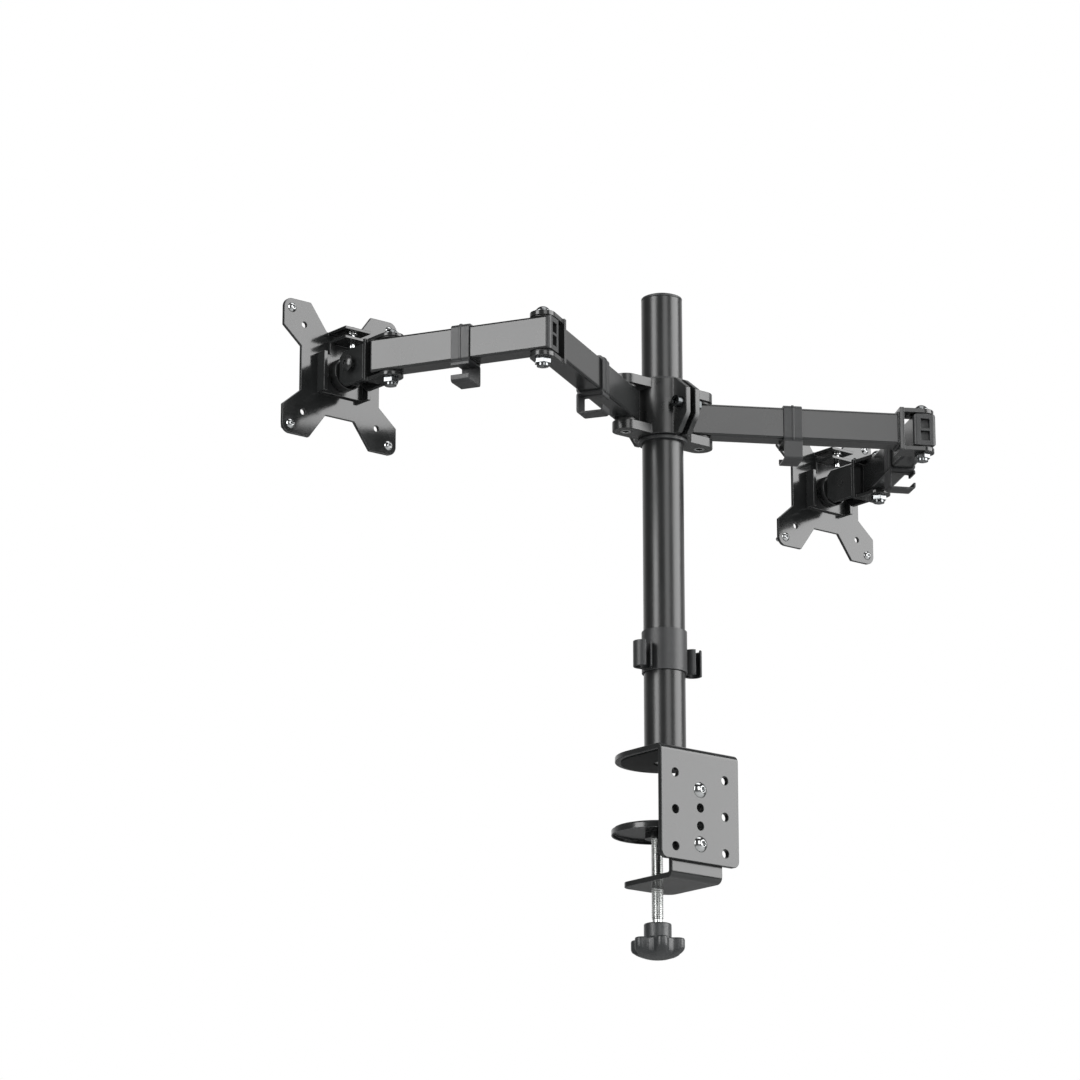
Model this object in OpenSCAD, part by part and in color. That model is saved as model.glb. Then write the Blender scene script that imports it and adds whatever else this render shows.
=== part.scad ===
// Dual monitor arm on a clamped pole. Millimetres, +Z up, +Y towards the user.
// The origin is on the desk's top, under the pole's axis.

/* [Pole] */
// Outer diameter of the pole
pole_d = 35; // [34.8:0.1:35.2]
// Height of the pole's upper end above the desk
pole_top = 405; // [380:1:450]
// Wall of the pole
pole_wall = 2; // [1.5:0.1:3]

/* [Desk clamp] */
// Width of the upper bracket
bracket_w = 84; // [80:1:90]
// Plate thickness of both brackets
plate_t = 4.5; // [4:0.1:5]
// Distance from the pole's axis to the back of the clamp
bracket_back = 43.6; // [42:0.1:46]
// Length of the back plate below the desk's top
bracket_drop = 90; // [86:1:94]
// Thickness of the rubber pad under the jaw
pad_t = 1; // [0.8:0.1:1.5]
// Width of the lower bracket
lower_w = 54.6; // [50:0.1:58]
// Level of the lower jaw's underside
lower_z = -104; // [-108:1:-100]
// Distance of the clamp screw in front of the pole's axis
screw_y = 11.3; // [8:0.1:14]
// Level of the pressure plate's upper face
press_z = -53; // [-56:1:-48]

/* [Arms] */
// Level of both arms' middle
arm_z = 305; // [290:1:320]
// Distance of the shoulder pivots from the pole's axis
shoulder_x = 41; // [40:0.1:43]
// Length of the inner link between its pivots
inner_len = 196; // [185:1:230]
// Direction of the right inner link, in degrees from +X
inner_turn = -30; // [-34:1:-26]
// Length of the outer link between its pivots
outer_len = 135; // [125:1:180]
// Direction of the right outer link, in degrees from +X
outer_turn = 62.6; // [58:0.1:66]
// Height of the tubes
tube_h = 28; // [27:0.5:29]
// Width of the tubes
tube_w = 20; // [19:0.5:21]

/* [Head] */
// Distance from the pan pivot to the tilt axis
tilt_y = 36; // [35:0.5:38]
// Distance from the pan pivot to the back of the monitor plate
plate_y = 69; // [68:0.5:71]
// Thickness of the monitor plate
vesa_t = 3; // [3:0.5:3.5]
// Side of the large hole square
vesa_big = 100; // [100]
// Side of the small hole square
vesa_small = 75; // [75]

/* [Hidden] */
$fn = 48;

steel_black = "#6c6e6d";
plastic_dark = "#3a3c3d";
rubber_dark = "#222324";
bright_steel = "#d4d6d8";

pole_r = pole_d / 2;
fit = 0.05;                       // radial clearance of a running pin
jaw_top = pad_t + plate_t;
back_in = bracket_back - plate_t;
side_x = 27;                      // the side holes stand this far from the middle
side_rows = [-18, -48.7, -79.4];
mid_rows = [-29.4, -44.5, -59.6, -74.7];
bolt_rows = [mid_rows[0], mid_rows[3]];
hole_r = 3.5;
thread_r = 5;
thread_pitch = 1.5;

liner_r = pole_r + 1.9;
ring_r = 24.5;
ring_h = 49;
ear_gap = 2.55;                   // half the gap between the collar's ears
ear_t = 5.1;
lug_r = 11.5;
lug_in = 16;                      // the lugs' inner faces above and below the arm's middle
ear_bolt_y = 32;

pin_r = 5;
half_h = tube_h / 2;
half_w = tube_w / 2;
wall = 2;
elbow = [shoulder_x + inner_len * cos(inner_turn), inner_len * sin(inner_turn)];
pan = [elbow[0] + outer_len * cos(outer_turn), elbow[1] + outer_len * sin(outer_turn)];
tube_past = 7;                    // a tube runs this far past its first pivot
cap_face = 3.5;                   // thickness of an end cap's face
plug_len = 20;                    // an end cap's plug reaches this far into its tube
pan_past = 13;                    // the outer tube runs this far past the pan pivot
fork_in = 15;                     // fork and bracket leaves start here above the arm's middle
fork_t = 4;
leaf_r = 10.5;                    // end radius of the fork's and the bracket's leaves
fork_web = 18;                    // from the elbow pivot to the fork's web
web_y = 18;                       // from the pan pivot to the bracket's web
web_t = 3;
cheek_in = 9.5;
cheek_out = 13;
knuckle_end = 58;
adapter_back = plate_y - web_t;
level_y = plate_y - 15.5;
inner_clip_at = 80;
outer_clip_at = 68;
clip_len = 16;

// ---------- shared shapes ----------

module rounded_plate(w, h, t, r) {
    linear_extrude(t) rounded_outline(w, h, r);
}

module rounded_outline(w, h, r) {
    square([w - 2 * r, h], center = true);
    square([w, h - 2 * r], center = true);
    for (x = [-1, 1], y = [-1, 1])
        translate([x * (w / 2 - r), y * (h / 2 - r)]) circle(r);
}

// A low domed head with a hexagon socket, standing on z = 0.
module button_head(r, h, socket) {
    ball = (r * r + h * h) / (2 * h);
    difference() {
        intersection() {
            cylinder(r = r, h = h);
            translate([0, 0, h - ball]) sphere(ball, $fn = 64);
        }
        translate([0, 0, h * 0.35]) cylinder(r = socket, h = h, $fn = 6);
    }
}

module hex_nut(r, h, bore) {
    difference() {
        cylinder(r = r, h = h, $fn = 6);
        translate([0, 0, -1]) cylinder(r = bore, h = h + 2);
    }
}

// A pivot bolt along z: its head rests on top, its nut under bottom.
module pivot_bolt(top, bottom, r) {
    translate([0, 0, bottom - 7]) cylinder(r = r, h = top - bottom + 7);
    translate([0, 0, top]) cylinder(r = r + 2.2, h = 1.6);
    translate([0, 0, top + 1.6]) button_head(r + 1.2, 4.2, 2.9);
    translate([0, 0, bottom - 4.6]) hex_nut(r + 2, 4.6, r - 0.1);
    intersection() {
        translate([0, 0, bottom - 7 - 1.2]) cylinder(r = r - 0.4, h = 1.2);
        translate([0, 0, bottom - 7 + 6]) sphere(7.2);
    }
}

module ring(outer, inner, h) {
    difference() {
        cylinder(r = outer, h = h);
        translate([0, 0, -1]) cylinder(r = inner, h = h + 2);
    }
}

// A rectangular tube along x, bored at each of its pivots.
module box_tube(from, to, pivots) {
    difference() {
        translate([from, 0, 0]) rotate([90, 0, 90]) difference() {
            rounded_plate(tube_w, tube_h, to - from, 2.5);
            translate([0, 0, -1]) rounded_plate(tube_w - 2 * wall, tube_h - 2 * wall, to - from + 2, 1);
        }
        for (x = pivots) translate([x, 0, -half_h - 1]) cylinder(r = pin_r + fit, h = tube_h + 2);
    }
}

module at_shoulder() {
    translate([shoulder_x, 0, arm_z]) rotate(inner_turn) children();
}

module at_elbow() {
    translate([elbow[0], elbow[1], arm_z]) rotate(outer_turn) children();
}

module at_fork() {
    translate([elbow[0], elbow[1], arm_z]) rotate(inner_turn) children();
}

module at_head() {
    translate([pan[0], pan[1], arm_z]) children();
}

module left_side() {
    mirror([1, 0, 0]) children();
}

// ---------- desk clamp ----------

module clamp_bracket() color(steel_black) difference() {
    intersection() {
        bent_strip(bracket_w, bracket_back, jaw_top, 60, -bracket_drop);
        union() {
            translate([0, 0, pad_t]) linear_extrude(plate_t) jaw_outline();
            translate([-bracket_w / 2, -bracket_back, -5]) cube([bracket_w, plate_t + 2, 20]);
            translate([0, -bracket_back - 1, 0]) back_outline(bracket_w, jaw_top, -bracket_drop, 6);
        }
    }
    for (x = [-side_x, side_x], z = side_rows) back_hole(x, z);
    for (z = mid_rows) back_hole(0, z);
    translate([0, 0, pad_t]) cylinder(r1 = 8.2, r2 = 4.2, h = plate_t);
    translate([0, 0, 0]) cylinder(r = 4.2, h = 10);
}

// An L-shaped strip bent once, with its outer corner at y = -back, z = top.
module bent_strip(w, back, top, front, low) {
    bend = plate_t + 1.5;
    translate([-w / 2, 0, 0]) rotate([90, 0, 90]) linear_extrude(w) difference() {
        union() {
            translate([-back + bend, top - plate_t]) square([back + front - bend, plate_t]);
            translate([-back, low]) square([plate_t, top - low - bend]);
            translate([-back + bend, top - bend]) circle(bend);
        }
        translate([-back + plate_t, low]) square([back + front, top - low - bend]);
        translate([-back + bend, low]) square([back + front, top - low - plate_t]);
        translate([-back + bend, top - bend]) circle(bend - plate_t);
    }
}

module jaw_outline() {
    circle(bracket_w / 2, $fn = 96);
    translate([-bracket_w / 2, -bracket_back]) square([bracket_w, bracket_back]);
}

// An upright plate outline with round lower corners, cut along +y.
module back_outline(w, top, low, r) {
    rotate([-90, 0, 0]) linear_extrude(plate_t + 4) difference() {
        translate([-w / 2, -top]) square([w, top - low]);
        for (s = [-1, 1]) translate([s * (w / 2 - r), -low - r]) difference() {
            translate([s > 0 ? 0 : -r - 1, 0]) square([r + 1, r + 1]);
            circle(r);
        }
    }
}

module back_hole(x, z) {
    translate([x, -bracket_back - 1, z]) rotate([-90, 0, 0]) cylinder(r = hole_r, h = plate_t + 2);
}

module lower_bracket() color(steel_black) difference() {
    union() {
        intersection() {
            translate([0, 0, lower_z - 2]) mirror([0, 0, 1]) translate([0, 0, -2])
                bent_strip(lower_w, back_in, 0, 27, -82);
            translate([0, 0, lower_z - 1]) linear_extrude(90) lower_outline();
        }
        translate([0, screw_y, lower_z + plate_t]) cylinder(r = 8, h = 5);
    }
    for (z = mid_rows) translate([0, -back_in - 1, z]) rotate([-90, 0, 0]) cylinder(r = hole_r, h = 8);
    translate([0, screw_y, lower_z - 1]) cylinder(r = thread_r + fit, h = 20);
}

module lower_outline() {
    round_r = 9;
    translate([-lower_w / 2, -back_in]) square([lower_w, back_in + 27 - round_r]);
    translate([-lower_w / 2 + round_r, 0]) square([lower_w - 2 * round_r, 27]);
    for (s = [-1, 1]) translate([s * (lower_w / 2 - round_r), 27 - round_r]) circle(round_r);
}

module bracket_bolts() color(bright_steel) for (z = bolt_rows) translate([0, -bracket_back, z]) {
    rotate([90, 0, 0]) button_head(6.8, 4, 2.6);
    rotate([-90, 0, 0]) cylinder(r = hole_r - fit, h = 2 * plate_t + 7);
    translate([0, 2 * plate_t, 0]) rotate([-90, 0, 0]) hex_nut(6.6, 5, hole_r - fit - 0.1);
}

module jaw_pad() color(rubber_dark) difference() {
    linear_extrude(pad_t) union() {
        circle(bracket_w / 2 - 5, $fn = 96);
        translate([-bracket_w / 2 + 5, -back_in + 5]) square([bracket_w - 10, back_in - 5]);
    }
    translate([0, 0, -1]) cylinder(r = 10, h = pad_t + 2);
}

module pole_base_screw() color(bright_steel) difference() {
    union() {
        translate([0, 0, pad_t]) cylinder(r1 = 8.1, r2 = 4.1, h = plate_t - 0.1);
        translate([0, 0, pad_t]) cylinder(r = 4, h = 16);
    }
    translate([0, 0, pad_t - 1]) cylinder(r = 2.9, h = 4, $fn = 6);
}

module pole() color(steel_black) difference() {
    translate([0, 0, jaw_top]) cylinder(r = pole_r, h = pole_top - jaw_top, $fn = 96);
    translate([0, 0, jaw_top + 14]) cylinder(r = pole_r - pole_wall, h = pole_top);
    translate([0, 0, jaw_top - 1]) cylinder(r = 4, h = 20);
}

module pole_cap() color(plastic_dark) {
    translate([0, 0, pole_top - 12]) ring(pole_r - pole_wall - 0.1, pole_r - pole_wall - 2, 12);
    translate([0, 0, pole_top]) intersection() {
        cylinder(r = pole_r, h = 6);
        translate([0, 0, -34]) sphere(40, $fn = 96);
    }
}

module pole_clip() color(plastic_dark) {
    translate([0, 0, 77]) ring(pole_r + 1.6, pole_r + fit, 35.8);
    for (s = [-1, 1]) translate([s * 27.4, -4, 78]) difference() {
        union() {
            cylinder(r = 8, h = 22);
            translate([s > 0 ? -9.4 : 2, -1.2, 0]) cube([7.4, 9, 22]);
        }
        translate([0, 0, -1]) cylinder(r = 6.2, h = 24);
        translate([-2.5, -10, -1]) cube([5, 8, 24]);
        translate([s * -27.4, 4, -1]) cylinder(r = pole_r + 1.6, h = 24);
    }
}

module pressure_plate() color(steel_black) difference() {
    union() {
        translate([0, screw_y, press_z - 3.5]) cylinder(r = 38, h = 2, $fn = 96);
        translate([0, screw_y, press_z - 9]) cylinder(r = 10, h = 5.5);
        translate([0, screw_y, press_z - 6]) ring(38, 36.5, 3);
    }
    translate([0, screw_y, press_z - 10]) cylinder(r = thread_r + 0.1, h = 6.4);
}

module pressure_pad() color(rubber_dark) translate([0, screw_y, press_z - 1.5]) cylinder(r = 36, h = 1.5);

module clamp_screw() color(bright_steel) translate([0, screw_y, 0]) {
    top = press_z - 4;
    low = -140;
    turns = floor((top - 6 - (-130)) / thread_pitch);
    rotate_extrude() polygon(concat(
        [[0, low], [thread_r - 0.7, low]],
        [for (i = [0 : turns - 1], k = [0, 1])
            [thread_r - (k == 0 ? 0.7 : 0), -130 + (i + k * 0.5) * thread_pitch]],
        [[thread_r - 0.7, -130 + turns * thread_pitch], [thread_r - 0.7, top], [0, top]]));
}

module clamp_knob() color(plastic_dark) translate([0, screw_y, 0]) difference() {
    union() {
        translate([0, 0, -146]) cylinder(r = 11.5, h = 13);
        translate([0, 0, -163]) intersection() {
            linear_extrude(18) knob_star();
            translate([0, 0, 34]) sphere(41, $fn = 96);
        }
    }
    translate([0, 0, -141]) cylinder(r = thread_r, h = 20);
}

module knob_star() {
    circle(17);
    for (i = [0 : 5]) rotate(i * 60) {
        translate([18, 0]) circle(5.4);
        translate([0, -5.4]) square([18, 10.8]);
    }
}

// ---------- collar ----------

module collar_liner() color(plastic_dark) translate([0, 0, arm_z]) {
    translate([0, 0, -ring_h / 2 - 0.3]) ring(liner_r, pole_r + fit, ring_h + 0.6);
    translate([0, 0, -ring_h / 2 - 3.3]) ring(liner_r + 1.6, pole_r + fit, 3.1);
    translate([0, 0, ring_h / 2 + 0.2]) ring(liner_r + 1.6, pole_r + fit, 2);
}

module collar_left_half() left_side() collar_half();

module collar_right_half() collar_half();

module collar_half() color(steel_black) translate([0, 0, arm_z]) difference() {
    union() {
        translate([0, 0, -ring_h / 2]) cylinder(r = ring_r, h = ring_h, $fn = 96);
        for (s = [-1, 1]) translate([0, 0, s > 0 ? lug_in : -ring_h / 2]) {
            translate([shoulder_x, 0, 0]) cylinder(r = lug_r, h = ring_h / 2 - lug_in);
            translate([0, -lug_r, 0]) cube([shoulder_x, 2 * lug_r, ring_h / 2 - lug_in]);
        }
        for (s = [0, 1]) mirror([0, s, 0]) translate([ear_gap, 0, 0]) rotate([90, 0, 90])
            linear_extrude(ear_t) ear_outline();
    }
    translate([0, 0, -ring_h]) cylinder(r = liner_r + fit, h = 2 * ring_h, $fn = 96);
    translate([ear_gap - 60, -60, -ring_h]) cube([60, 120, 2 * ring_h]);
    translate([shoulder_x, 0, -ring_h]) cylinder(r = pin_r + fit, h = 2 * ring_h);
    for (s = [-1, 1]) translate([0, s * ear_bolt_y, 1]) rotate([0, 90, 0]) cylinder(r = 3.1, h = 20);
}

module ear_outline() {
    polygon([[18, -ring_h / 2], [28.5, -ring_h / 2], [39.5, -9], [39.5, 13], [25, ring_h / 2],
        [18, ring_h / 2]]);
}

module collar_bolts() color(bright_steel) for (s = [-1, 1]) translate([0, s * ear_bolt_y, arm_z + 1]) {
    end = ear_gap + ear_t;
    translate([-end, 0, 0]) rotate([0, 90, 0]) cylinder(r = 3, h = 2 * end + 6);
    translate([-end, 0, 0]) rotate([0, -90, 0]) difference() {
        cylinder(r = 5, h = 6);
        translate([0, 0, 3]) cylinder(r = 2.9, h = 5, $fn = 6);
    }
    translate([end, 0, 0]) rotate([0, 90, 0]) hex_nut(5.6, 4.5, 2.9);
}

// ---------- arms, drawn on the right ----------

// A flush shoulder pin with a hexagon socket in its lower end.
module shoulder_bolt() color(bright_steel) translate([shoulder_x, 0, arm_z - ring_h / 2]) difference() {
    cylinder(r = pin_r, h = ring_h);
    translate([0, 0, -1]) cylinder(r = 2.9, h = 5, $fn = 6);
    difference() {
        translate([0, 0, -1]) cylinder(r = pin_r + 1, h = 1.5);
        translate([0, 0, -1]) cylinder(r1 = pin_r - 1.1, r2 = pin_r + 0.4, h = 1.6);
    }
}

module shoulder_washers() color(rubber_dark) at_shoulder()
    for (z = [half_h, -lug_in + 0.1]) translate([0, 0, z]) ring(9.5, pin_r + fit, lug_in - half_h - 0.1);

module inner_tube() color(steel_black) at_shoulder()
    box_tube(-tube_past, inner_len - fork_web - fork_t, [0]);

module inner_end_cap() color(plastic_dark) at_shoulder() end_cap(-tube_past, cap_face);

// A moulded cap on a tube's end at x = from: a face outside the tube and a bored plug inside it.
module end_cap(from, face) difference() {
    plug_w = tube_w - 2 * wall - 0.2;
    union() {
        translate([from - face, 0, 0]) intersection() {
            rotate([90, 0, 90]) rounded_plate(tube_w, tube_h, face, 2.5);
            translate([0, 0, -half_h]) linear_extrude(tube_h) cap_nose(face);
        }
        translate([from, 0, 0]) rotate([90, 0, 90])
            rounded_plate(plug_w, tube_h - 2 * wall - 0.2, plug_len, 1);
    }
    translate([0, 0, -half_h - 1]) cylinder(r = pin_r + fit, h = tube_h + 2);
}

// Seen from above: the cap's face with round outer corners.
module cap_nose(face) {
    nose_r = min(3.4, face);
    for (s = [-1, 1]) translate([nose_r, s * (half_w - nose_r)]) circle(nose_r);
    translate([0, -half_w + nose_r]) square([face, tube_w - 2 * nose_r]);
    translate([nose_r, -half_w]) square([face, tube_w]);
}

module elbow_fork() color(steel_black) at_fork() difference() {
    union() {
        translate([-fork_web - fork_t, -12, -fork_in - fork_t]) cube([fork_t, 24, 2 * (fork_in + fork_t)]);
        for (z = [-fork_in - fork_t, fork_in]) translate([0, 0, z]) {
            cylinder(r = leaf_r, h = fork_t);
            translate([-fork_web - 1, -leaf_r, 0]) cube([fork_web + 1, 2 * leaf_r, fork_t]);
        }
    }
    translate([0, 0, -40]) cylinder(r = pin_r + fit, h = 80);
}

module inner_clip(turned = false) color(plastic_dark) at_shoulder() translate([inner_clip_at, 0, 0])
    mirror([0, turned ? 1 : 0, 0]) arm_clip();

module outer_clip() color(plastic_dark) at_elbow() translate([outer_clip_at, 0, 0])
    mirror([0, 1, 0]) arm_clip();

// A snap-on cable clip: a band round the tube with a cable channel under it.
module arm_clip() translate([-clip_len / 2, 0, 0]) rotate([90, 0, 90]) {
    drop = 17;
    skin = 1.8;
    linear_extrude(clip_len) difference() {
        rounded_outline(tube_w + 2 * skin, tube_h + 2 * skin, 3.5);
        rounded_outline(tube_w + 0.1, tube_h + 0.1, 2.5);
    }
    translate([0, 0, clip_len / 2 - 0.8]) linear_extrude(1.6) difference() {
        rounded_outline(tube_w + 2 * skin + 1.4, tube_h + 2 * skin + 1.4, 4);
        rounded_outline(tube_w + skin, tube_h + skin, 2.5);
    }
    // the channel, a C with its mouth on the +Y side
    translate([0, -half_h - skin - drop]) linear_extrude(clip_len) difference() {
        translate([0, (drop + skin - 0.2) / 2]) rounded_outline(tube_w + 2 * skin, drop + skin - 0.2, 3);
        translate([0, (drop + skin) / 2]) rounded_outline(tube_w, drop - skin, 0.8);
        translate([half_w - 1, 6]) square([skin + 2, drop - 9]);
    }
}

module elbow_bolt() color(bright_steel) at_elbow() pivot_bolt(fork_in + fork_t, -fork_in - fork_t, pin_r);

module elbow_washers() color(rubber_dark) at_elbow()
    for (z = [half_h, -fork_in + 0.1]) translate([0, 0, z]) ring(9.5, pin_r + fit, fork_in - half_h - 0.1);

module outer_tube() color(steel_black) at_elbow()
    box_tube(-tube_past, outer_len + pan_past, [0, outer_len]);

module outer_end_caps() color(plastic_dark) at_elbow() {
    difference() {
        end_cap(-tube_past, cap_face);
        for (z = [-9.7, 1.2]) translate([-20, -4, z]) cube([13.6, 8, 8.5]);
    }
    translate([outer_len, 0, 0]) rotate(180) end_cap(-pan_past, 1);
}

// ---------- head, drawn on the right ----------

module pan_bolt() color(bright_steel) at_head() pivot_bolt(fork_in + web_t, -fork_in - web_t, pin_r);

module pan_washers() color(rubber_dark) at_head()
    for (z = [half_h, -fork_in + 0.1]) translate([0, 0, z]) ring(9.5, pin_r + fit, fork_in - half_h - 0.1);

module pan_bracket() color(steel_black) at_head() difference() {
    union() {
        translate([-13, web_y, -fork_in - web_t]) cube([26, web_t, 2 * (fork_in + web_t)]);
        for (z = [-fork_in - web_t, fork_in]) translate([0, 0, z]) {
            cylinder(r = leaf_r, h = web_t);
            translate([-leaf_r, 0, 0]) cube([2 * leaf_r, web_y + 1, web_t]);
        }
    }
    translate([0, 0, -40]) cylinder(r = pin_r + fit, h = 80);
}

module tilt_yoke() color(steel_black) at_head() translate([0, web_y + web_t, 0]) difference() {
    union() {
        translate([-cheek_out, 0, -16]) cube([2 * cheek_out, web_t, 30]);
        for (x = [-cheek_out, cheek_in]) translate([x, 0, 0]) rotate([90, 0, 90])
            linear_extrude(cheek_out - cheek_in)
                polygon([[0, -16], [25, -16], [32, -10], [32, 10], [27, 14], [0, 14]]);
    }
    translate([-20, tilt_y - web_y - web_t, 0]) rotate([0, 90, 0]) cylinder(r = 3 + fit, h = 40);
}

module tilt_bolt() color(steel_black) at_head() translate([0, tilt_y, 0]) {
    rotate([0, 90, 0]) translate([0, 0, -cheek_out - 0.5]) cylinder(r = 3, h = 2 * cheek_out + 5.5);
    translate([cheek_out + 5, 0, 0]) rotate([0, 90, 0]) button_head(7, 3, 2.4);
}

module tilt_knuckle() color(plastic_dark) at_head() difference() {
    union() {
        translate([-9, tilt_y, 0]) rotate([0, 90, 0]) cylinder(r = 9, h = 18);
        translate([-9, tilt_y, -9]) cube([18, knuckle_end - tilt_y, 18]);
        translate([0, knuckle_end - 1, 0]) rotate([-90, 0, 0])
            cylinder(r = 14, h = adapter_back - knuckle_end + 0.9);
    }
    translate([-20, tilt_y, 0]) rotate([0, 90, 0]) cylinder(r = 3 + fit, h = 40);
    translate([0, adapter_back - 16, 0]) rotate([-90, 0, 0]) cylinder(r = 4 + fit, h = 20);
}

module adapter() color(steel_black) at_head() difference() {
    union() {
        translate([-24, adapter_back, -18]) cube([48, web_t - 0.1, 34]);
        translate([-13, adapter_back, 10]) cube([26, web_t - 0.1, 18]);
        for (x = [-24, 20.5]) translate([x, adapter_back - 7, -18]) cube([3.5, 8, 34]);
        translate([-13, adapter_back - 21, 25.5]) cube([26, 22, 2.5]);
    }
    translate([0, adapter_back - 1, 0]) rotate([-90, 0, 0]) cylinder(r = 4 + fit, h = 8);
    translate([0, plate_y - 1.3, 0]) rotate([-90, 0, 0]) cylinder(r = 7.1, h = 2);
    for (x = [-17, 17]) translate([x, adapter_back - 1, -2]) rotate([-90, 0, 0]) cylinder(r = 2 + fit, h = 8);
    translate([0, level_y, 20]) cylinder(r = 2.5 + fit, h = 12);
}

module adapter_rivets() color(bright_steel) at_head() {
    translate([0, adapter_back - 14, 0]) rotate([-90, 0, 0]) cylinder(r = 4, h = 14 + web_t - 1);
    translate([0, plate_y - 1.1, 0]) rotate([-90, 0, 0]) cylinder(r = 7, h = 0.9);
    for (x = [-17, 17]) translate([x, adapter_back, -2]) rotate([-90, 0, 0]) {
        cylinder(r = 2, h = web_t);
        translate([0, 0, web_t - 0.1]) cylinder(r = 3, h = 1.7);
        translate([0, 0, web_t + 1.5]) cylinder(r = 5, h = 1.2);
    }
}

module vesa_plate() color(steel_black) at_head() translate([0, plate_y, 0]) difference() {
    union() {
        rotate([-90, 0, 0]) linear_extrude(vesa_t) vesa_outline();
        translate([-13, -24, 33.5]) cube([26, 24 + vesa_t, 2.5]);
    }
    for (d = [vesa_big / 2, vesa_small / 2], x = [-d, d], z = [-d, d])
        translate([x, -1, z]) rotate([-90, 0, 0]) cylinder(r = 2.5, h = vesa_t + 2);
    for (x = [-17, 17]) translate([x, 0, -2]) {
        slot(3.2, 9, -1, vesa_t + 1);
        slot(5.3, 9, 1.3, vesa_t + 1);
    }
    translate([0, level_y - plate_y, 30]) cylinder(r = 2.5 + fit, h = 8);
    rotate([-90, 0, 0]) translate([0, 0, -1]) cylinder(r = 7.4, h = 1.4);
}

// An upright slot with round ends, from depth a to depth b.
module slot(r, reach, a, b) translate([0, a, 0]) rotate([-90, 0, 0]) linear_extrude(b - a) {
    for (y = [-reach, reach]) translate([0, y]) circle(r);
    translate([-r, -reach]) square([2 * r, 2 * reach]);
}

// Four round-cornered arms joined by a waist.
module vesa_outline() for (s = [0, 1], u = [0, 1]) mirror([s, 0]) mirror([0, u]) {
    polygon([[0, 0], [40, 0], [40, 19], [58, 34], [58, 50], [50, 50], [50, 58], [31, 58], [14.5, 36], [0, 36]]);
    translate([50, 50]) circle(8);
}

module vesa_screws() color(bright_steel) at_head()
    for (x = [-1, 1], z = [-1, 1]) translate([x * vesa_big / 2, plate_y, z * vesa_big / 2]) {
        rotate([90, 0, 0]) button_head(4.2, 2.8, 1.6);
        rotate([-90, 0, 0]) cylinder(r = 2.4, h = vesa_t);
        rotate([-90, 0, 0]) cylinder(r = 2, h = vesa_t + 8);
    }

module level_screw() color(bright_steel) at_head() translate([0, level_y, 0]) {
    translate([0, 0, 20.5]) cylinder(r = 2.5, h = 15.5);
    translate([0, 0, 36]) button_head(4.6, 3.2, 2);
    translate([0, 0, 32.2]) cylinder(r = 4.4, h = 1.2);
}

clamp_bracket();
lower_bracket();
bracket_bolts();
jaw_pad();
pole_base_screw();
pole();
pole_cap();
pole_clip();
pressure_plate();
pressure_pad();
clamp_screw();
clamp_knob();
collar_liner();
collar_left_half();
collar_right_half();
collar_bolts();
left_side() shoulder_bolt();  // left_shoulder_bolt
left_side() shoulder_washers();  // left_shoulder_washers
left_side() inner_tube();  // left_inner_tube
left_side() inner_end_cap();  // left_inner_end_cap
left_side() elbow_fork();  // left_elbow_fork
left_side() inner_clip(true);  // left_inner_clip
left_side() elbow_bolt();  // left_elbow_bolt
left_side() elbow_washers();  // left_elbow_washers
left_side() outer_tube();  // left_outer_tube
left_side() outer_end_caps();  // left_outer_end_caps
left_side() outer_clip();  // left_outer_clip
left_side() pan_bolt();  // left_pan_bolt
left_side() pan_washers();  // left_pan_washers
left_side() pan_bracket();  // left_pan_bracket
left_side() tilt_yoke();  // left_tilt_yoke
left_side() tilt_bolt();  // left_tilt_bolt
left_side() tilt_knuckle();  // left_tilt_knuckle
left_side() adapter();  // left_adapter
left_side() adapter_rivets();  // left_adapter_rivets
left_side() vesa_plate();  // left_vesa_plate
left_side() vesa_screws();  // left_vesa_screws
left_side() level_screw();  // left_level_screw
shoulder_bolt();  // right_shoulder_bolt
shoulder_washers();  // right_shoulder_washers
inner_tube();  // right_inner_tube
inner_end_cap();  // right_inner_end_cap
elbow_fork();  // right_elbow_fork
inner_clip();  // right_inner_clip
elbow_bolt();  // right_elbow_bolt
elbow_washers();  // right_elbow_washers
outer_tube();  // right_outer_tube
outer_end_caps();  // right_outer_end_caps
outer_clip();  // right_outer_clip
pan_bolt();  // right_pan_bolt
pan_washers();  // right_pan_washers
pan_bracket();  // right_pan_bracket
tilt_yoke();  // right_tilt_yoke
tilt_bolt();  // right_tilt_bolt
tilt_knuckle();  // right_tilt_knuckle
adapter();  // right_adapter
adapter_rivets();  // right_adapter_rivets
vesa_plate();  // right_vesa_plate
vesa_screws();  // right_vesa_screws
level_screw();  // right_level_screw
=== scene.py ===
import bpy
import math
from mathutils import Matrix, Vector


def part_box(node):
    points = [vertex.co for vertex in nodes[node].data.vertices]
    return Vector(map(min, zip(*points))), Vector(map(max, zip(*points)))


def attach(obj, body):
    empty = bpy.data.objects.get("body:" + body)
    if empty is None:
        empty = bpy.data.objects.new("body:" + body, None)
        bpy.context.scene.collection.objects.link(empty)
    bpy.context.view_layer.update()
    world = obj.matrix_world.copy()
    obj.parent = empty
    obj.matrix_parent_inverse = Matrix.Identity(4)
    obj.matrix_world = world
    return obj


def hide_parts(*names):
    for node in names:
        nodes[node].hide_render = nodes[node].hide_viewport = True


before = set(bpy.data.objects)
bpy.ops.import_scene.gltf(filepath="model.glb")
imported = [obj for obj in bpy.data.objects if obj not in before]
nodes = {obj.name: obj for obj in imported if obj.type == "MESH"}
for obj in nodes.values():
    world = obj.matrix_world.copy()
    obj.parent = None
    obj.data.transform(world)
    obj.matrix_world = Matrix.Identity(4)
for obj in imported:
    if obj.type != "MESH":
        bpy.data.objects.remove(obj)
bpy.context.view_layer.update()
scene = bpy.context.scene
mm = 0.001
print("frame loaded with", len(nodes), "CAD nodes")


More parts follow.
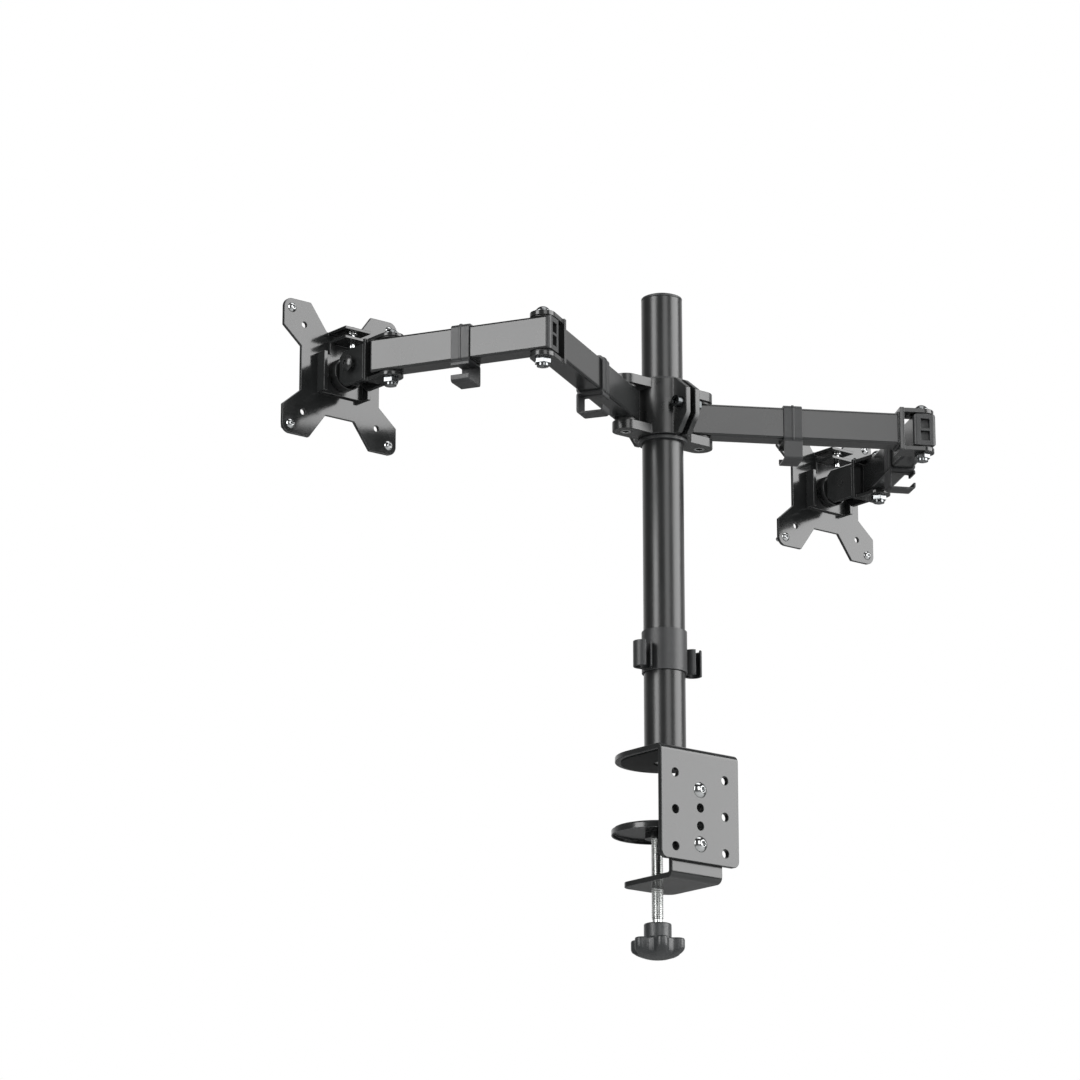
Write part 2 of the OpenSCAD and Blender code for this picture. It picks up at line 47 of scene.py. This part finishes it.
# sRGB hex to linear RGBA
def linear(hexColour):
    parts = [int(hexColour[i:i + 2], 16) / 255 for i in (1, 3, 5)]
    return tuple(c / 12.92 if c <= 0.04045 else ((c + 0.055) / 1.055) ** 2.4 for c in parts) + (1.0,)


# settings are input names or numbers, or else the node's own properties
def addNode(tree, kind, settings=None, links=None):
    node = tree.nodes.new(kind)
    for key, value in (settings or {}).items():
        if isinstance(key, int) or key in node.inputs:
            node.inputs[key].default_value = value
        else:
            setattr(node, key, value)
    for key, source in (links or {}).items():
        tree.links.new(source, node.inputs[key])
    return node


# a material with a Principled shader; returns it with its tree, shader and object coordinates in metres
def startMaterial(name):
    material = bpy.data.materials.new(name)
    material.use_nodes = True
    tree = material.node_tree
    tree.nodes.clear()
    shader = addNode(tree, "ShaderNodeBsdfPrincipled")
    addNode(tree, "ShaderNodeOutputMaterial", links={"Surface": shader.outputs["BSDF"]})
    place = addNode(tree, "ShaderNodeTexCoord")
    return material, tree, shader, place.outputs["Object"]


# a base colour that runs from dark to light between two levels of a pattern
def addTone(tree, shader, pattern, dark, light, ends=(0.0, 1.0)):
    tone = addNode(tree, "ShaderNodeValToRGB", links={"Fac": pattern})
    for element, end, colour in zip(tone.color_ramp.elements, ends, (dark, light)):
        element.position = end
        element.color = linear(colour)
    tree.links.new(tone.outputs["Color"], shader.inputs["Base Color"])


# roughness that follows a pattern
def addGloss(tree, shader, pattern, low, high, gloss):
    rough = addNode(tree, "ShaderNodeMapRange",
                    {"From Min": low, "From Max": high, "To Min": gloss[0], "To Max": gloss[1]},
                    {"Value": pattern})
    tree.links.new(rough.outputs["Result"], shader.inputs["Roughness"])


# relief that follows a pattern
def addSkin(tree, shader, pattern, strength, depthMm):
    skin = addNode(tree, "ShaderNodeBump", {"Strength": strength, "Distance": depthMm * mm},
                   {"Height": pattern})
    tree.links.new(skin.outputs["Normal"], shader.inputs["Normal"])


# Black enamel stoved on steel or zinc: a smooth skin with a faint orange peel,
# slightly cloudy gloss and a tone that drifts over the sheet.
def enamelledSteel(name, look):
    material, tree, shader, place = startMaterial(name)
    drift = addNode(tree, "ShaderNodeTexNoise",
                    {"Scale": 1 / (look["driftMm"] * mm), "Detail": 3.0, "Roughness": 0.55}, {"Vector": place})
    addTone(tree, shader, drift.outputs["Fac"], look["dark"], look["light"], (0.32, 0.68))
    addGloss(tree, shader, drift.outputs["Fac"], 0.3, 0.7, look["gloss"])
    # real orange peel is near 0.8 mm; it is drawn wider so that it shows
    peel = addNode(tree, "ShaderNodeTexNoise",
                   {"Scale": 1 / (look["peelMm"] * mm), "Detail": 2.0, "Roughness": 0.5}, {"Vector": place})
    addSkin(tree, shader, peel.outputs["Fac"], look["peelDepth"], 0.03)
    shader.inputs["IOR"].default_value = 1.5
    return material


# Injection-moulded polypropylene or nylon from a spark-eroded tool: matt, with a fine even grain.
def mouldedPlastic(name, look):
    material, tree, shader, place = startMaterial(name)
    flow = addNode(tree, "ShaderNodeTexNoise",
                   {"Scale": 1 / (14 * mm), "Detail": 2.0, "Distortion": 0.4}, {"Vector": place})
    addTone(tree, shader, flow.outputs["Fac"], look["dark"], look["light"], (0.3, 0.7))
    # the tool's grain is near 0.15 mm; it is drawn at the size given so that it shows
    grain = addNode(tree, "ShaderNodeTexVoronoi",
                    {"Scale": 1 / (look["grainMm"] * mm)}, {"Vector": place})
    addGloss(tree, shader, grain.outputs["Distance"], 0.0, 0.8, look["gloss"])
    addSkin(tree, shader, grain.outputs["Distance"], 0.22, 0.05)
    shader.inputs["IOR"].default_value = 1.5
    return material


# Steel with nickel-chrome, zinc or black plate: faint turning marks and the haze of handling.
def platedSteel(name, look):
    material, tree, shader, place = startMaterial(name)
    haze = addNode(tree, "ShaderNodeTexNoise",
                   {"Scale": 1 / (4 * mm), "Detail": 4.0, "Roughness": 0.6}, {"Vector": place})
    addGloss(tree, shader, haze.outputs["Fac"], 0.3, 0.7, look["gloss"])
    addTone(tree, shader, haze.outputs["Fac"], look["dark"], look["light"])
    # turning marks 0.8 mm apart: one band is pi / 10 of the scale's length
    turned = addNode(tree, "ShaderNodeTexWave",
                     {"wave_type": "RINGS", "Scale": 1 / (2.5 * mm), "Distortion": 1.5, "Detail": 1.0},
                     {"Vector": place})
    addSkin(tree, shader, turned.outputs["Fac"], 0.06, 0.02)
    shader.inputs["Metallic"].default_value = 1.0
    return material


# Moulded nitrile rubber: dull, dusty black with a soft pebble.
def mouldedRubber(name):
    material, tree, shader, place = startMaterial(name)
    dust = addNode(tree, "ShaderNodeTexNoise", {"Scale": 1 / (9 * mm), "Detail": 5.0}, {"Vector": place})
    addTone(tree, shader, dust.outputs["Fac"], "#151616", "#262727")
    pebble = addNode(tree, "ShaderNodeTexVoronoi", {"Scale": 1 / (0.9 * mm)}, {"Vector": place})
    addSkin(tree, shader, pebble.outputs["Distance"], 0.35, 0.08)
    shader.inputs["Roughness"].default_value = 0.75
    shader.inputs["Specular IOR Level"].default_value = 0.35
    return material


finishes = {
    "plate": enamelledSteel("satin enamel on sheet steel", {
        "dark": "#1c1d1d", "light": "#242525", "gloss": (0.16, 0.24), "driftMm": 35,
        "peelMm": 2.4, "peelDepth": 0.1}),
    "mirrorPlate": enamelledSteel("gloss enamel on sheet steel", {
        "dark": "#181919", "light": "#202121", "gloss": (0.09, 0.15), "driftMm": 35,
        "peelMm": 2.8, "peelDepth": 0.06}),
    # the rounded edges' enamel runs lighter: partly paint thinned over the edge, partly a painted edge
    # highlight
    "plateEdgeWearAndHighlight": enamelledSteel("enamel thinned over an edge", {
        "dark": "#161717", "light": "#2c2d2d", "gloss": (0.24, 0.34), "driftMm": 9,
        "peelMm": 1.8, "peelDepth": 0.15}),
    "tube": enamelledSteel("satin enamel on drawn steel tube", {
        "dark": "#1a1b1b", "light": "#222323", "gloss": (0.17, 0.24), "driftMm": 50,
        "peelMm": 2.6, "peelDepth": 0.08}),
    "pole": enamelledSteel("satin enamel on the drawn pole", {
        "dark": "#161717", "light": "#1d1e1e", "gloss": (0.27, 0.32), "driftMm": 60,
        "peelMm": 3.0, "peelDepth": 0.03}),
    "cast": enamelledSteel("satin enamel on cast zinc", {
        "dark": "#191a1a", "light": "#232424", "gloss": (0.24, 0.34), "driftMm": 18,
        "peelMm": 1.6, "peelDepth": 0.25}),
    "plastic": mouldedPlastic("moulded polypropylene", {
        "dark": "#1f2021", "light": "#272829", "gloss": (0.36, 0.5), "grainMm": 0.9}),
    "knob": mouldedPlastic("moulded glass-filled nylon", {
        "dark": "#232526", "light": "#2d2f30", "gloss": (0.3, 0.44), "grainMm": 1.1}),
    "washer": mouldedPlastic("moulded nylon washer", {
        "dark": "#131414", "light": "#1b1c1c", "gloss": (0.35, 0.45), "grainMm": 0.7}),
    "chrome": platedSteel("nickel-chrome plated steel", {
        "dark": "#a3a5a6", "light": "#c3c4c4", "gloss": (0.06, 0.14)}),
    # chrome for the elbow and pan nuts, darkened as painted shade so that their faces towards the key softbox
    # do not blow out
    "nickel": platedSteel("chrome darkened with painted shade", {
        "dark": "#626465", "light": "#7c7e7f", "gloss": (0.12, 0.2)}),
    "blackSteel": platedSteel("black-oxide steel", {
        "dark": "#3c3e3f", "light": "#505253", "gloss": (0.22, 0.34)}),
    "zinc": platedSteel("zinc plated rolled thread", {
        "dark": "#c4c6c5", "light": "#dcdddb", "gloss": (0.2, 0.3)}),
    "rubber": mouldedRubber("moulded nitrile rubber"),
}
print("finishes made:", len(finishes))


# node's ending: finish of its faces, finish of its rounded edges, edge radius in mm
looks = {
    "clamp_bracket": ("plate", "plateEdgeWearAndHighlight", 0.6), "lower_bracket": ("plate", "plateEdgeWearAndHighlight", 0.6),
    "bracket_bolts": ("chrome", "chrome", 0.2), "jaw_pad": ("rubber", "rubber", 0.2),
    "pole_base_screw": ("chrome", "chrome", 0.2), "pole": ("pole", "plateEdgeWearAndHighlight", 0.4),
    "pole_cap": ("plastic", "plastic", 0.5), "pole_clip": ("plastic", "plastic", 0.35),
    "pressure_plate": ("plate", "plateEdgeWearAndHighlight", 0.3), "pressure_pad": ("rubber", "rubber", 0.3),
    "clamp_knob": ("knob", "knob", 0.0), "collar_liner": ("plastic", "plastic", 0.3),
    "collar_left_half": ("cast", "plateEdgeWearAndHighlight", 0.6), "collar_right_half": ("cast", "plateEdgeWearAndHighlight", 0.6),
    "collar_bolts": ("blackSteel", "blackSteel", 0.25), "shoulder_bolt": ("chrome", "chrome", 0.25),
    "shoulder_washers": ("washer", "washer", 0.2), "inner_tube": ("tube", "plateEdgeWearAndHighlight", 0.3),
    "inner_end_cap": ("plastic", "plastic", 0.3), "elbow_fork": ("plate", "plateEdgeWearAndHighlight", 0.5),
    # the elbow and pan bolts take the darkened chrome, a painted shade
    "inner_clip": ("plastic", "plastic", 0.3), "elbow_bolt": ("nickel", "nickel", 0.25),
    "elbow_washers": ("washer", "washer", 0.2), "outer_tube": ("tube", "plateEdgeWearAndHighlight", 0.3),
    "outer_end_caps": ("plastic", "plastic", 0.3), "outer_clip": ("plastic", "plastic", 0.3),
    "pan_bolt": ("nickel", "nickel", 0.25), "pan_washers": ("washer", "washer", 0.2),
    "pan_bracket": ("plate", "plateEdgeWearAndHighlight", 0.45), "tilt_yoke": ("plate", "plateEdgeWearAndHighlight", 0.45),
    "tilt_bolt": ("plate", "plateEdgeWearAndHighlight", 0.25), "tilt_knuckle": ("cast", "cast", 0.6),
    "adapter": ("plate", "plateEdgeWearAndHighlight", 0.4), "adapter_rivets": ("chrome", "chrome", 0.15),
    "vesa_plate": ("mirrorPlate", "plateEdgeWearAndHighlight", 0.4), "vesa_screws": ("chrome", "chrome", 0.2),
    "level_screw": ("chrome", "chrome", 0.2), "clamp_screw": ("zinc", "zinc", 0.0),
}


# angles in degrees, distances in mm
edges = {"joinWithin": 0.001, "flatWithin": 0.4, "sharpAbove": 38, "steps": 2}


def finishNode(name, node):
    kind = name[5:] if name.startswith("left_") else name[6:] if name.startswith("right_") else name
    face, edge, radius = looks[kind]
    node.data.materials.clear()
    node.data.materials.append(finishes[face])
    node.data.materials.append(finishes[edge])
    if radius:
        weld = node.modifiers.new("join faces", "WELD")
        weld.merge_threshold = edges["joinWithin"] * mm
        flat = node.modifiers.new("merge flat faces", "DECIMATE")
        flat.decimate_type = "DISSOLVE"
        flat.angle_limit = math.radians(edges["flatWithin"])
        bevel = node.modifiers.new("round edges", "BEVEL")
        bevel.width = radius * mm
        bevel.segments = edges["steps"]
        bevel.limit_method = "ANGLE"
        bevel.angle_limit = math.radians(edges["sharpAbove"])
        bevel.use_clamp_overlap = False
        bevel.loop_slide = False
        # the rounded edges take the node's second finish; on plates and tubes its lighter tone is a painted
        # edge highlight as well as thinned paint
        bevel.material = 1
        even = node.modifiers.new("even shading", "WEIGHTED_NORMAL")
        even.keep_sharp = False


for name, node in nodes.items():
    finishNode(name, node)
print("CAD nodes finished")


def addMesh(name, points, faces, finish, body, replaced=()):
    mesh = bpy.data.meshes.new(name)
    mesh.from_pydata(points, [], faces)
    mesh.update()
    for face in mesh.polygons:
        face.use_smooth = True
    mesh.materials.append(finishes[finish])
    piece = bpy.data.objects.new(name, mesh)
    scene.collection.objects.link(piece)
    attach(piece, body)
    if replaced:
        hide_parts(*replaced)
    return piece


clampScrew = {"root": 4.3, "crest": 4.95, "pitch": 1.5, "sides": 28, "stepsPerTurn": 6, "threadLow": -130.0}


# a rolled thread as one surface: the radius follows a ridge that climbs one pitch each turn
def makeClampScrew(part):
    low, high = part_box("clamp_screw")
    centre = (low + high) / 2
    bottom, top = low.z / mm, high.z / mm
    step = part["pitch"] / part["stepsPerTurn"]
    rows = int((top - 1 - bottom) / step)
    points = []
    for row in range(rows + 1):
        z = bottom + row * step
        for side in range(part["sides"]):
            turn = side / part["sides"]
            phase = (z / part["pitch"] - turn) % 1.0
            ridge = max(0.0, min(1.0, 1.6 - abs(phase - 0.5) * 4.4))
            fade = max(0.0, min(1.0, (z - part["threadLow"]) / 1.5)) * max(0.0, min(1.0, (top - 2 - z) / 1.5))
            radius = part["root"] + (part["crest"] - part["root"]) * ridge * fade
            angle = math.tau * turn
            points.append((centre.x + radius * mm * math.cos(angle),
                           centre.y + radius * mm * math.sin(angle), z * mm))
    faces = []
    n = part["sides"]
    for row in range(rows):
        for side in range(n):
            a, b = row * n + side, row * n + (side + 1) % n
            faces.append((a, b, b + n, a + n))
    faces.append(tuple(reversed(range(n))))
    faces.append(tuple(rows * n + side for side in range(n)))
    return addMesh("clampScrewThread", points, faces, "zinc", "screw", ["clamp_screw"])


makeClampScrew(clampScrew)
print("clamp screw made")


clampKnob = {"hubRadius": 11.5, "hubHeight": 13.0, "height": 17.0, "waist": 17.0, "lobeAt": 18.0,
             "lobeRadius": 5.4, "crown": 41.0, "sides": 180}


# how far the six-lobed outline stands from the axis in a direction, in mm
def knobReach(angle, part):
    off = abs((angle + math.pi / 6) % (math.pi / 3) - math.pi / 6)
    sideways = part["lobeAt"] * math.sin(off)
    if abs(sideways) <= part["lobeRadius"]:
        return part["lobeAt"] * math.cos(off) + math.sqrt(part["lobeRadius"] ** 2 - sideways ** 2)
    return max(part["waist"], part["lobeRadius"] / math.sin(off))


# a moulded hand knob: rings of one outline, drawn in at the top and bottom, with a crowned underside
def makeClampKnob(part):
    low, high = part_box("clamp_knob")
    centre, bottom, top = (low + high) / 2, low.z / mm, high.z / mm
    count = part["sides"]
    raw = [knobReach(math.tau * i / count, part) for i in range(count)]
    reach = [sum(raw[(i + k) % count] for k in range(-2, 3)) / 5 for i in range(count)]
    shoulder = bottom + part["height"]
    rings = [("hub", part["hubRadius"] - 1.2, top), ("hub", part["hubRadius"] - 0.3, top - 0.35),
             ("hub", part["hubRadius"], top - 1.2), ("hub", part["hubRadius"], shoulder + 1.6),
             ("hub", part["hubRadius"] + 0.5, shoulder + 0.5), ("hub", part["hubRadius"] + 1.6, shoulder),
             ("star", -1.5, shoulder), ("star", -0.45, shoulder - 0.4), ("star", 0.0, shoulder - 1.5),
             ("star", 0.0, None), ("star", -0.5, None), ("star", -1.7, None), ("star", -5.0, None),
             ("dish", 9.0, None), ("dish", 3.0, None)]
    lift = {9: 2.2, 10: 1.0, 11: 0.3, 12: 0.0, 13: 0.0, 14: 0.0}
    points = []
    for index, (shape, size, z) in enumerate(rings):
        for i in range(count):
            r = reach[i] + size if shape == "star" else size
            rise = part["crown"] - math.sqrt(part["crown"] ** 2 - r * r)
            level = z if z is not None else bottom + rise + lift[index]
            angle = math.tau * i / count
            points.append((centre.x + r * mm * math.cos(angle), centre.y + r * mm * math.sin(angle),
                           level * mm))
    faces = []
    for ring in range(len(rings) - 1):
        for i in range(count):
            a, b = ring * count + i, ring * count + (i + 1) % count
            faces.append((b, a, a + count, b + count))
    faces.append(tuple(range(count)))
    faces.append(tuple(reversed([(len(rings) - 1) * count + i for i in range(count)])))
    return addMesh("clampHandKnob", points, faces, "knob", "screw", ["clamp_knob"])


makeClampKnob(clampKnob)
print("clamp knob made")


# all in mm
weldBead = {"radius": 1.5, "ripple": 0.22, "rippleMm": 1.6, "halfWidth": 10.0, "halfHeight": 14.0,
            "corner": 2.5, "step": 0.4, "sides": 8, "cornerPoints": 7}


# a fillet of weld round a tube's end; the tube starts at the origin and the bead lies this far along it
def makeWeldBead(name, body, origin, direction, along, part):
    forward = Vector((math.cos(direction), math.sin(direction), 0))
    across = Vector((-math.sin(direction), math.cos(direction), 0))
    up = Vector((0, 0, 1))
    w, h, c = part["halfWidth"], part["halfHeight"], part["corner"]
    path = []
    corners = [(w - c, h - c, 0), (-w + c, h - c, 90), (-w + c, -h + c, 180), (w - c, -h + c, 270)]
    for cx, cy, start in corners:
        for i in range(part["cornerPoints"]):
            a = math.radians(start + i * 90 / (part["cornerPoints"] - 1))
            path.append(Vector((cx + c * math.cos(a), cy + c * math.sin(a), 0)))
    outline = []
    for a, b in zip(path, path[1:] + path[:1]):
        count = max(1, round((b - a).length / part["step"]))
        outline += [a + (b - a) * i / count for i in range(count)]
    points, faces, sides = [], [], part["sides"]
    travelled = 0.0
    for i, p in enumerate(outline):
        ahead, behind = outline[(i + 1) % len(outline)], outline[i - 1]
        travelled += (p - behind).length if i else 0.0
        tangent = (ahead - behind).normalized()
        outward = Vector((tangent.y, -tangent.x, 0))
        r = part["radius"] + part["ripple"] * math.sin(math.tau * travelled / part["rippleMm"])
        for s in range(sides):
            a = math.tau * s / sides
            out, back = r * math.cos(a), r * math.sin(a)
            flat = p + outward * out
            world = (Vector(origin) + forward * (along + back) * mm
                     + across * flat.x * mm + up * flat.y * mm)
            points.append(world)
    total = len(outline)
    for i in range(total):
        for s in range(sides):
            a, b = i * sides + s, i * sides + (s + 1) % sides
            ahead = (i + 1) % total * sides
            faces.append((a, b, ahead + (s + 1) % sides, ahead + s))
    return addMesh(name, points, faces, "plate", body)


# where the inner tubes meet their forks, in mm and degrees
armSetup = {"height": 305.0, "shoulderX": 41.0, "innerLength": 196.0, "innerTurn": -30.0, "webAt": 22.0,
            "sunk": 0.4}
for side, sign in (("left", -1), ("right", 1)):
    turn = math.radians(armSetup["innerTurn"])
    direction = turn if sign > 0 else math.pi - turn
    origin = (sign * armSetup["shoulderX"] * mm, 0, armSetup["height"] * mm)
    along = armSetup["innerLength"] - armSetup["webAt"] - armSetup["sunk"]
    makeWeldBead(side + "ForkWeld", side + "_inner_arm", origin, direction, along, weldBead)
print("weld beads made")


cameraSetup = {"lens": 140.63, "sensor": 36.0, "place": (-2.2403, -2.5944, -0.7628),
               "azimuth": -39.07, "elevation": -15.59}


def makeCamera(setup):
    a, e = math.radians(setup["azimuth"]), math.radians(setup["elevation"])
    back = Vector((math.sin(a) * math.cos(e), -math.cos(a) * math.cos(e), math.sin(e)))
    camera = bpy.data.objects.new("camera", bpy.data.cameras.new("camera"))
    scene.collection.objects.link(camera)
    camera.data.lens = setup["lens"]
    camera.data.sensor_width = setup["sensor"]
    camera.location = setup["place"]
    camera.rotation_mode = "QUATERNION"
    camera.rotation_quaternion = (-back).to_track_quat("-Z", "Y")
    camera.data.clip_start, camera.data.clip_end = 0.05, 100
    scene.camera = camera


makeCamera(cameraSetup)


floorSetup = {"level": -1.2, "half": 14.0, "colour": "#c9caca"}


def makeFloor(setup):
    h, z = setup["half"], setup["level"]
    mesh = bpy.data.meshes.new("floor")
    mesh.from_pydata([(-h, -h, z), (h, -h, z), (h, h, z), (-h, h, z)], [], [(0, 1, 2, 3)])
    material, tree, shader, place = startMaterial("pale matt studio floor")
    shader.inputs["Base Color"].default_value = linear(setup["colour"])
    shader.inputs["Roughness"].default_value = 0.85
    mesh.materials.append(material)
    floor = bpy.data.objects.new("floor", mesh)
    scene.collection.objects.link(floor)


makeFloor(floorSetup)


# softboxes: direction from the object, distance, width, height, power
target = Vector((0.0, -0.03, 0.16))
softboxes = {
    "keySoftbox": {"towards": (0.607, -0.748, 0.269), "distance": 2.8, "size": (2.3, 2.6), "power": 128},
    "leftSoftbox": {"towards": (-0.96, -0.06, 0.27), "distance": 2.6, "size": (1.1, 2.2), "power": 60},
    "frontStrip": {"towards": (-0.344, -0.9, 0.27), "distance": 2.8, "size": (1.2, 2.2), "power": 29},
    "topSoftbox": {"towards": (0.1, -0.1, 1.0), "distance": 2.6, "size": (1.6, 1.6), "power": 18},
}


def makeSoftbox(name, setup):
    light = bpy.data.lights.new(name, "AREA")
    light.shape = "RECTANGLE"
    light.size, light.size_y = setup["size"]
    light.energy = setup["power"]
    lamp = bpy.data.objects.new(name, light)
    scene.collection.objects.link(lamp)
    towards = Vector(setup["towards"]).normalized()
    lamp.location = target + towards * setup["distance"]
    lamp.rotation_mode = "QUATERNION"
    lamp.rotation_quaternion = towards.to_track_quat("Z", "Y")


for name, setup in softboxes.items():
    makeSoftbox(name, setup)


# a white cyclorama behind the object, greyer behind the viewer and overhead
def makeSurroundings():
    world = bpy.data.worlds.new("studio surroundings")
    world.use_nodes = True
    scene.world = world
    tree = world.node_tree
    tree.nodes.clear()
    place = addNode(tree, "ShaderNodeTexCoord")
    split = addNode(tree, "ShaderNodeSeparateXYZ", links={"Vector": place.outputs["Generated"]})
    height = addNode(tree, "ShaderNodeMapRange",
                     {"From Min": 0.42, "From Max": 0.9, "To Min": 1.0, "To Max": 0.3},
                     {"Value": split.outputs["Z"]})
    facing = addNode(tree, "ShaderNodeVectorMath", {"operation": "DOT_PRODUCT", 1: (0.63, 0.777, 0.0)},
                     {0: place.outputs["Generated"]})
    front = addNode(tree, "ShaderNodeMapRange",
                    {"From Min": 0.35, "From Max": 0.85, "To Min": 0.16, "To Max": 1.0},
                    {"Value": facing.outputs["Value"]})
    both = addNode(tree, "ShaderNodeMath", {"operation": "MULTIPLY"},
                   {0: height.outputs["Result"], 1: front.outputs["Result"]})
    paper = addNode(tree, "ShaderNodeBackground", {"Color": linear("#ffffff")},
                    {"Strength": both.outputs["Value"]})
    addNode(tree, "ShaderNodeOutputWorld", links={"Surface": paper.outputs["Background"]})


makeSurroundings()
scene.view_settings.view_transform = "Standard"
print("camera, floor and light made")
